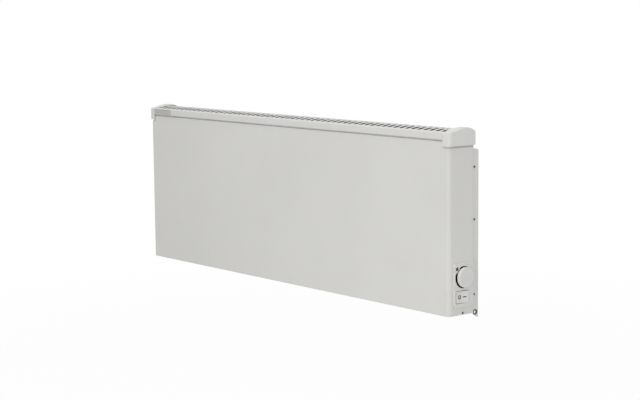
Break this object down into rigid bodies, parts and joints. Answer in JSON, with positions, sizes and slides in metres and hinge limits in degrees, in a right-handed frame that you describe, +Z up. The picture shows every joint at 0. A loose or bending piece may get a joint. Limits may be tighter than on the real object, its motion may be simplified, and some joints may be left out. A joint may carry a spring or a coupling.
{
  "type": "wall panel convector heater",
  "caption": "Long slim wall convector heater: steel casing, slotted top grille between moulded caps, end-mounted knob, pilot lamp and rocker switch, on a hooked wall bracket.",
  "frame": {"origin": "middle of the wall bracket's rear face, on the wall plane at half the heater's width", "axes": "+X along the heater to the end with the controls, +Y into the wall, +Z up; the front faces -Y"},
  "size_m": [1.015, 0.0828, 0.3653],
  "materials": {
    "white_steel": "off-white powder coat, satin",
    "white_plastic": "off-white moulded plastic, satin",
    "badge_grey": "blank grey plate, satin",
    "black_rubber": "black rubber",
    "screw_steel": "blackened steel",
    "zinc_steel": "zinc-plated sheet steel",
    "bright_steel": "bright steel",
    "dark_steel": "black coated sheet steel",
    "lamp_lens": "frosted translucent lens",
    "lamp_tube": "dark lamp tube",
    "black_plastic": "black moulded plastic",
    "brass": "brass",
    "aluminium": "plain aluminium sheet",
    "ceramic": "unglazed ceramic",
    "copper": "copper",
    "wire_insulation": "heat-proof insulation"
  },
  "bodies": {
    "wall": {"wall_bracket": "zinc_steel"},
    "heater": {"front_casing": "white_steel", "top_grille": "white_steel", "end_cap_left": "white_plastic", "end_cap_right": "white_plastic", "badge_plate": "badge_grey", "rear_panel": "white_steel", "spacer_frame": "white_steel", "cable_grommet": "black_rubber", "panel_grommet": "black_rubber", "frame_screws": "screw_steel", "rear_screws": "screw_steel", "bottom_grille": "white_steel", "foot_screws": "screw_steel", "control_bezel": "white_plastic", "control_carrier": "dark_steel", "thermostat_body": "bright_steel", "pilot_lens": "lamp_lens", "pilot_lamp": "lamp_tube", "switch_housing": "black_plastic", "switch_terminals": "brass", "control_partition": "zinc_steel", "heat_shield": "zinc_steel", "heating_element": "bright_steel", "element_fins": "aluminium", "element_brackets": "zinc_steel", "element_bushes": "ceramic", "element_terminals": "brass", "cutout_bracket": "zinc_steel", "thermal_cutout": "black_plastic", "terminal_block": "white_plastic", "terminal_screws": "brass", "earth_stud": "brass", "thermostat_sensor": "copper", "sensor_clips": "zinc_steel", "wiring": "wire_insulation"},
    "knob": {"thermostat_knob": "white_plastic", "knob_spindle": "bright_steel"},
    "rocker": {"switch_rocker": "white_plastic"}
  },
  "joints": [
    {"name": "heater_lift", "type": "slide", "parent": "wall", "child": "heater", "axis": [0, 0, 1], "range_m": [0, 0.012]},
    {"name": "knob_turn", "type": "hinge", "parent": "heater", "child": "knob", "pos_m": [0.5, -0.0436, -0.1615], "axis": [1, 0, 0], "range_deg": [-270, 0]},
    {"name": "rocker_tilt", "type": "hinge", "parent": "heater", "child": "rocker", "pos_m": [0.499, -0.0488, -0.199], "axis": [0, 0, 1], "range_deg": [0, 14]}
  ]
}
